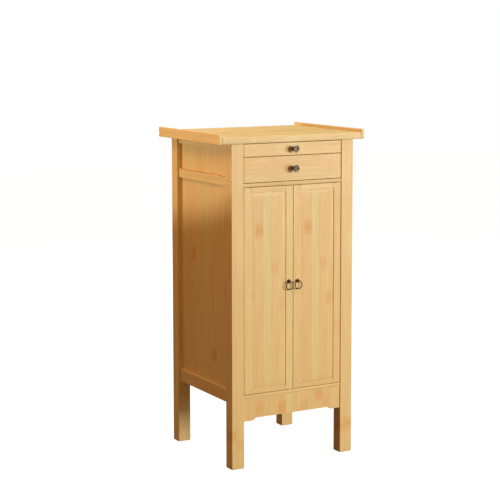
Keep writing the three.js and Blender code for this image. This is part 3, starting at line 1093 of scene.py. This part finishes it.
@dataclass
class Carcass:
    """Everything that stands still: posts, frames, panels, shelves, apron, runners and top."""

    joiner: Joiner
    post_edge: float = 1.3 * MM
    top_edge: float = 1.5 * MM
    rail_edge: float = 0.8 * MM
    panel_edge: float = 0.5 * MM
    inner_edge: float = 0.6 * MM
    seam: float = 0.3 * MM
    ear_width: float = 30 * MM
    ear_drop: float = 7 * MM
    ear_sweep: float = 14 * MM
    sweep_steps: int = 12
    runner_thickness: float = 10 * MM

    def build(self) -> None:
        """Builds the parts from the top down."""
        self.top()
        self.posts()
        self.sides()
        self.back()
        self.shelves()
        self.apron()
        self.runners()

    def top(self) -> None:
        """The top board between its two raised cheeks."""
        board = self.joiner.board
        board("top_board", Stock.PANEL, Axis.X, Axis.Z, self.top_edge)
        for side in Side:
            board(f"top_cheek_{side.word}", Stock.FRAME, Axis.Y, Axis.X, self.top_edge, -0.1)

    def posts(self) -> None:
        """The four posts."""
        for row in ("front", "back"):
            for side in Side:
                self.joiner.board(f"post_{row}_{side.word}", Stock.FRAME, Axis.Z, Axis.Y, self.post_edge)

    def sides(self) -> None:
        """The rails and panels between the posts on the left and right."""
        board = self.joiner.board
        for side in Side:
            for place in ("top", "middle", "bottom"):
                board(f"side_rail_{place}_{side.word}", Stock.FRAME, Axis.Y, Axis.X, self.rail_edge)
            for place in ("upper", "lower"):
                board(f"side_panel_{place}_{side.word}", Stock.PANEL, Axis.Z, Axis.X, self.panel_edge)

    def back(self) -> None:
        """The back panel between its rails."""
        for place in ("top", "bottom"):
            self.joiner.board(f"back_rail_{place}", Stock.FRAME, Axis.X, Axis.Y, self.rail_edge)
        self.joiner.board("back_panel", Stock.PANEL, Axis.Z, Axis.Y, self.panel_edge)

    def shelves(self) -> None:
        """The cupboard floor and the divider, notched round the posts.

        The right half of the outline steps from the front edge round the front post to the side, and
        from there round the back post to the back edge. The left half is its mirror image.
        """
        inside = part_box("post_front_right")[0].x - self.seam
        notch_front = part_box("post_front_right")[1].y + self.seam
        notch_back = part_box("post_back_right")[0].y - self.seam
        for node in ("cupboard_floor", "divider_board"):
            low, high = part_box(node)
            right = [
                (inside, low.y),
                (inside, notch_front),
                (high.x, notch_front),
                (high.x, notch_back),
                (inside, notch_back),
                (inside, high.y),
            ]
            left = [(-x, y) for x, y in reversed(right)]
            self.joiner.shaped(node, Stock.INNER, np.array(right + left), Axis.X, Axis.Z, self.inner_edge)

    def apron(self) -> None:
        """The apron, whose lower edge falls in an S-curve to an ear at each end.

        The S-curve is a cubic with level ends: it falls by the ear's drop times 3 u² minus 2 u³.
        """
        low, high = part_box("front_apron")
        share = np.linspace(0, 1, self.sweep_steps + 1)
        sweep_x = high.x - self.ear_width - self.ear_sweep * (1 - share)
        sweep_z = low.z + self.ear_drop * (1 - share**2 * (3 - 2 * share))
        sweep = np.stack([sweep_x, sweep_z], 1)
        right = np.concatenate([sweep, [[high.x, low.z], [high.x, high.z]]])
        left = (right * [-1, 1])[::-1]
        corners = np.concatenate([right, left])
        self.joiner.shaped("front_apron", Stock.FRAME, corners, Axis.Z, Axis.Y, self.rail_edge)

    def runners(self) -> None:
        """The L-shaped runners under the tray and the straight guides beside the drawer."""
        for side in Side:
            node = f"tray_runner_{side.word}"
            low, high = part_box(node)
            outer, ledge = (low.x, high.x) if side is Side.LEFT else (high.x, low.x)
            fence = side.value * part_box("post_front_right")[0].x
            shoulder = low.z + self.runner_thickness
            corners = [
                (outer, low.z),
                (ledge, low.z),
                (ledge, shoulder),
                (fence, shoulder),
                (fence, high.z),
                (outer, high.z),
            ]
            self.joiner.shaped(node, Stock.INNER, np.array(corners), Axis.Y, Axis.Y, self.inner_edge)
            self.joiner.board(f"drawer_guide_{side.word}", Stock.INNER, Axis.Y, Axis.X, self.inner_edge)


@dataclass
class Knob:
    """A turned bronze knob with a waist, and a ring raised on its face.

    The outline holds shares of the knob's radius and reach, from the foot to the tip.
    """

    bronze: bpy.types.Material
    sides: int = 56
    outline: tuple = (
        (0, 0),
        (0.55, 0),
        (0.585, 0.015),
        (0.585, 0.05),
        (0.54, 0.07),
        (0.48, 0.085),
        (0.42, 0.13),
        (0.395, 0.2),
        (0.4, 0.29),
        (0.43, 0.38),
        (0.52, 0.48),
        (0.66, 0.58),
        (0.85, 0.66),
        (0.97, 0.72),
        (1.0, 0.78),
        (0.99, 0.83),
        (0.94, 0.88),
        (0.86, 0.915),
        (0.78, 0.92),
        (0.71, 0.895),
        (0.67, 0.89),
        (0.62, 0.925),
        (0.57, 0.985),
        (0.52, 1.0),
        (0.46, 0.99),
        (0.4, 0.93),
        (0.33, 0.885),
        (0.2, 0.87),
        (0.1, 0.875),
        (0, 0.88),
    )

    def build(self, node: str) -> None:
        """Turns the knob that stands for a node.

        Args:
            node: the knob's node, whose box gives its radius and its reach.
        """
        low, high = (np.array(corner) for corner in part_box(node))
        radius = (high - low)[0] / 2
        reach = (high - low)[1]
        profile = softened(np.array(self.outline, float), 2) * [radius, reach]
        axes = np.stack([Axis.X.arrow, Axis.Z.arrow, -Axis.Y.arrow])
        foot = np.array([(low + high)[0] / 2, high[1], (low + high)[2] / 2])
        solid = turned(profile, self.sides).placed(axes, foot)
        make_piece("bronze_" + node, solid, self.bronze, node)


@dataclass
class PullOutBox:
    """The tray or the drawer: a front, two sides, a back, a bottom and a knob."""

    name: str
    joiner: Joiner
    knob: Knob
    front_edge: float = 1.0 * MM
    inner_edge: float = 0.6 * MM

    def build(self) -> None:
        """Builds the box and its knob."""
        board = self.joiner.board
        board(f"{self.name}_front", Stock.PANEL, Axis.X, Axis.Y, self.front_edge)
        for side in Side:
            board(f"{self.name}_side_{side.word}", Stock.INNER, Axis.Y, Axis.X, self.inner_edge)
        board(f"{self.name}_back", Stock.INNER, Axis.X, Axis.Y, self.inner_edge)
        board(f"{self.name}_bottom", Stock.INNER, Axis.X, Axis.Z, self.inner_edge)
        self.knob.build(f"{self.name}_knob")


@dataclass
class RingPull:
    """A round bronze ring that hangs in an eye on a small rosette."""

    bronze: bpy.types.Material
    ring_sides: int = 96
    wire_sides: int = 20
    post_sides: int = 48
    wire_radius: float = 1.4 * MM
    eye_radius: float = 3.8 * MM
    eye_hole: float = 2.05 * MM
    eye_width: float = 5 * MM
    squareness: float = 0.55
    stem_radius: float = 2.2 * MM

    def ring(self, node: str) -> None:
        """Bends the ring: a circle of the wire's radius turned about the ring's axis.

        Args:
            node: the ring's node.
        """
        low, high = (np.array(corner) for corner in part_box(node))
        radius = (high - low)[0] / 2 - self.wire_radius
        roll = np.linspace(0, 2 * math.pi, self.wire_sides, endpoint=False)
        loop = np.stack([radius + self.wire_radius * np.cos(roll), self.wire_radius * np.sin(roll)], 1)
        axes = np.stack([Axis.X.arrow, Axis.Z.arrow, -Axis.Y.arrow])
        solid = turned_loop(loop, np.clip(np.cos(roll), 0, 1) ** 2, self.ring_sides)
        solid = solid.placed(axes, (low + high) / 2)
        make_piece("bronze_" + node, solid, self.bronze, node)

    def eye(self) -> Solid:
        """The eye: a rounded square turned about the hole's axis.

        The square's corners are rounded by taking the cosine and the sine to a power below one.
        """
        roll = np.linspace(0, 2 * math.pi, self.wire_sides * 2, endpoint=False)
        waves = np.stack([np.cos(roll), np.sin(roll)])
        sideways, upright = np.sign(waves) * np.abs(waves) ** self.squareness
        middle = (self.eye_radius + self.eye_hole) / 2
        wall = (self.eye_radius - self.eye_hole) / 2
        loop = np.stack([middle + wall * sideways, self.eye_width / 2 * upright], 1)
        rim = np.clip(sideways, 0, 1) * np.abs(upright)
        return turned_loop(loop, rim, self.post_sides)

    def post(self, node: str) -> None:
        """Turns the rosette and its stem, and sets the eye on them.

        Args:
            node: the post's node.
        """
        low, high = (np.array(corner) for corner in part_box(node))
        middle = (low + high) / 2
        radius = (high - low)[0] / 2
        eye_y = low[1] + self.eye_radius
        stem_end = high[1] - eye_y - self.eye_hole - 0.4 * MM
        profile = [
            (0, 0),
            (radius * 0.97, 0),
            (radius, 0.3 * MM),
            (radius, 0.7 * MM),
            (radius * 0.9, 1.05 * MM),
            (radius * 0.74, 1.0 * MM),
            (radius * 0.64, 1.35 * MM),
            (radius * 0.5, 1.6 * MM),
            (self.stem_radius * 1.12, 2.0 * MM),
            (self.stem_radius, 2.8 * MM),
            (self.stem_radius, stem_end),
            (0, stem_end + 0.1 * MM),
        ]
        front = np.stack([Axis.X.arrow, Axis.Z.arrow, -Axis.Y.arrow])
        stem = turned(softened(np.array(profile), 1), self.post_sides)
        stem = stem.placed(front, np.array([middle[0], high[1], middle[2]]))
        sideways = np.stack([Axis.Y.arrow, Axis.Z.arrow, Axis.X.arrow])
        eye = self.eye().placed(sideways, np.array([middle[0], eye_y, middle[2]]))
        make_piece("bronze_" + node, joined(stem, eye), self.bronze, node)


@dataclass
class Door:
    """One framed door with a fielded panel, its ring pull and its pivot pins."""

    side: Side
    joiner: Joiner
    pull: RingPull
    steel: bpy.types.Material
    frame_edge: float = 0.6 * MM
    panel_arris: float = 0.35 * MM
    panel_crest: float = 3 * MM
    field_rise: float = 0.6 * MM
    field_slope: float = 12 * MM

    def build(self) -> None:
        """Builds the frame, the panel and the pull, and gives the pins their steel."""
        name = f"door_{self.side.word}"
        board = self.joiner.board
        for place in ("outer", "inner"):
            board(f"{name}_stile_{place}", Stock.FRAME, Axis.Z, Axis.Y, self.frame_edge)
        for place in ("top", "bottom"):
            board(f"{name}_rail_{place}", Stock.FRAME, Axis.X, Axis.Y, self.frame_edge)
        self.panel(f"{name}_panel")
        self.pull.post(f"{name}_pull_post")
        self.pull.ring(f"{name}_pull_ring")
        for place in ("bottom", "top"):
            pin = frame["nodes"][f"{name}_pin_{place}"]
            pin.data.materials.clear()
            pin.data.materials.append(self.steel)

    def panel(self, node: str) -> None:
        """The panel, with its field raised on both faces."""
        low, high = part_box(node)
        section = fielded_section(
            high.y - low.y, self.panel_arris, self.panel_crest, self.field_rise, self.field_slope
        )
        self.joiner.board(node, Stock.PANEL, Axis.Z, Axis.Y, self.panel_arris, section=section)


@dataclass(frozen=True)
class Light:
    """A light: where it stands, the point that it faces, its size, its power in watts and its colour.

    Without a beam it is a square soft light. With one it is a spot of that many degrees across.
    """

    name: str
    place: tuple
    aim: tuple
    size: float
    power: float
    colour: tuple
    beam: float = 0.0
    beam_border: float = 0.06

    def hang(self) -> None:
        """Adds the light to the scene."""
        data = bpy.data.lights.new(self.name, "SPOT" if self.beam else "AREA")
        if self.beam:
            data.spot_size = math.radians(self.beam)
            data.spot_blend = self.beam_border
            data.shadow_soft_size = self.size
        else:
            data.shape = "SQUARE"
            data.size = self.size
        data.energy = self.power
        data.color = self.colour
        light = bpy.data.objects.new(self.name, data)
        bpy.context.scene.collection.objects.link(light)
        light.location = self.place
        towards = Vector(self.aim) - Vector(self.place)
        light.rotation_euler = towards.to_track_quat("-Z", "Y").to_euler()


LIGHTS = (
    Light("key", (2.6, -5.6, 1.6), (0, 0, 0.5), 1.5, 190, (1.0, 0.97, 0.9)),
    Light("right_soft", (4.6, -4.6, 1.2), (0, 0, 0.4), 2.0, 150, (0.93, 1.0, 1.0)),
    Light("overhead", (0.0, 0.2, 3.4), (0, 0.1, 0.9), 1.4, 50, (0.82, 0.95, 1.0)),
    Light("back_fill", (0.5, 4.2, 1.3), (0, 0, 0.5), 1.6, 110, (1.0, 0.97, 0.92)),
    Light("left_wash", (-1.2, 0.0, 1.9), (-0.21, 0, 0.8), 0.5, 7.5, (1.0, 0.57, 0.28)),
    Light("left_top", (-3.0, 0.45, 1.0), (-0.21, 0.45, 2.8), 0.05, 145, (1.0, 0.9, 0.8), beam=78.9),
)


@dataclass
class Studio:
    """The camera, the sky and the pale floor, with the lights round them."""

    camera_place: tuple = (-2.23245, -3.91634, 1.29919)
    yaw: float = 0.52013
    pitch: float = 0.11527
    lens: float = 105.73
    sensor: float = 36.0
    shift: tuple = (-0.03, -0.10)
    floor_half: float = 9.0
    floor_steps: int = 24
    floor_glow: float = 0.97
    floor_pale: tuple = (0.17, 0.12, 0.08, 1)
    floor_deep: tuple = (0.15, 0.105, 0.07, 1)
    floor_clouds: float = 1.5
    floor_roughness: float = 0.9
    ambient: tuple = (1.0, 0.54, 0.23)
    ambient_strength: float = 0.27
    backdrop: tuple = (1.0, 1.0, 1.0, 1)

    def build(self) -> None:
        """Sets up the floor, the lights, the sky and the camera."""
        self.floor()
        for light in LIGHTS:
            light.hang()
        self.sky()
        self.camera()

    def camera(self) -> None:
        """Places the camera where the photograph was taken from.

        It looks along the yaw, measured from the depth axis towards the right, and down by the pitch.
        """
        data = bpy.data.cameras.new("photo_camera")
        data.lens = self.lens
        data.sensor_width = self.sensor
        data.shift_x, data.shift_y = self.shift
        camera = bpy.data.objects.new("photo_camera", data)
        bpy.context.scene.collection.objects.link(camera)
        level = math.cos(self.pitch)
        look = Vector((math.sin(self.yaw) * level, math.cos(self.yaw) * level, -math.sin(self.pitch)))
        camera.location = self.camera_place
        camera.rotation_euler = look.to_track_quat("-Z", "Y").to_euler()
        bpy.context.scene.camera = camera

    def sky(self) -> None:
        """Surrounds everything with a warm even glow, which the camera sees as white."""
        world = bpy.data.worlds.new("studio_sky")
        world.use_nodes = True
        tree = Tree(world.node_tree)
        seen = tree.node("LightPath").outputs["Is Camera Ray"]
        background = world.node_tree.nodes["Background"]
        background.inputs["Strength"].default_value = 1.0
        glow = tuple(self.ambient_strength * value for value in self.ambient) + (1,)
        tree.feed(background.inputs["Color"], tree.mix(seen, glow, self.backdrop))
        bpy.context.scene.world = world
        bpy.context.scene.view_settings.view_transform = "Standard"

    def floor(self) -> None:
        """A plain pale floor under the feet."""
        line = np.linspace(-self.floor_half, self.floor_half, self.floor_steps + 1)
        x, y = np.meshgrid(line, line)
        points = np.stack([x, y, np.zeros_like(x)], 2).reshape(-1, 3)
        count = self.floor_steps + 1
        corner = (np.arange(self.floor_steps)[:, None] * count + np.arange(self.floor_steps)).ravel()
        quads = np.stack([corner, corner + 1, corner + count + 1, corner + count], 1)
        mesh = bpy.data.meshes.new("floor")
        mesh.from_pydata(points.tolist(), [], quads.tolist())
        material = bpy.data.materials.new("pale_floor")
        material.use_nodes = True
        tree = Tree(material.node_tree)
        shader = material.node_tree.nodes["Principled BSDF"]
        cloud = tree.noise(tree.node("TexCoord").outputs["Object"], self.floor_clouds, 3.0)
        seen = tree.node("LightPath").outputs["Is Camera Ray"]
        tree.feed(shader.inputs["Base Color"], tree.mix(cloud, self.floor_deep, self.floor_pale))
        tree.feed(shader.inputs["Emission Strength"], tree.math("MULTIPLY", seen, self.floor_glow))
        shader.inputs["Emission Color"].default_value = self.backdrop
        shader.inputs["Roughness"].default_value = self.floor_roughness
        mesh.materials.append(material)
        floor = bpy.data.objects.new("floor", mesh)
        bpy.context.scene.collection.objects.link(floor)


def main() -> None:
    """Builds the studio and the cabinet, and reports each piece."""
    logging.basicConfig(level=logging.INFO, format="%(name)s: %(message)s")
    Studio().build()
    effects = Effects(laid_bamboo_group(), rubbed_edge_group(), handling_group())
    materials = {stock: finish.material(effects) for stock, finish in BAMBOO_FINISHES.items()}
    ordered = {}
    for node, order in ORDERS.items():
        ordered[node] = Bamboo(f"{node}_strips", order=order, knuckles=ORDERED_KNUCKLES).material(effects)
    bronze, knob_bronze, steel = (finish.material(effects) for finish in (BRONZE, KNOB_BRONZE, STEEL))
    joiner = Joiner(materials, ordered)
    Carcass(joiner).build()
    knob = Knob(knob_bronze)
    for name in ("tray", "drawer"):
        PullOutBox(name, joiner, knob).build()
    for side in Side:
        Door(side, joiner, RingPull(bronze), steel).build()
    log.info("%d nodes dressed", len(frame["nodes"]))


if __name__ == "__main__":
    main()
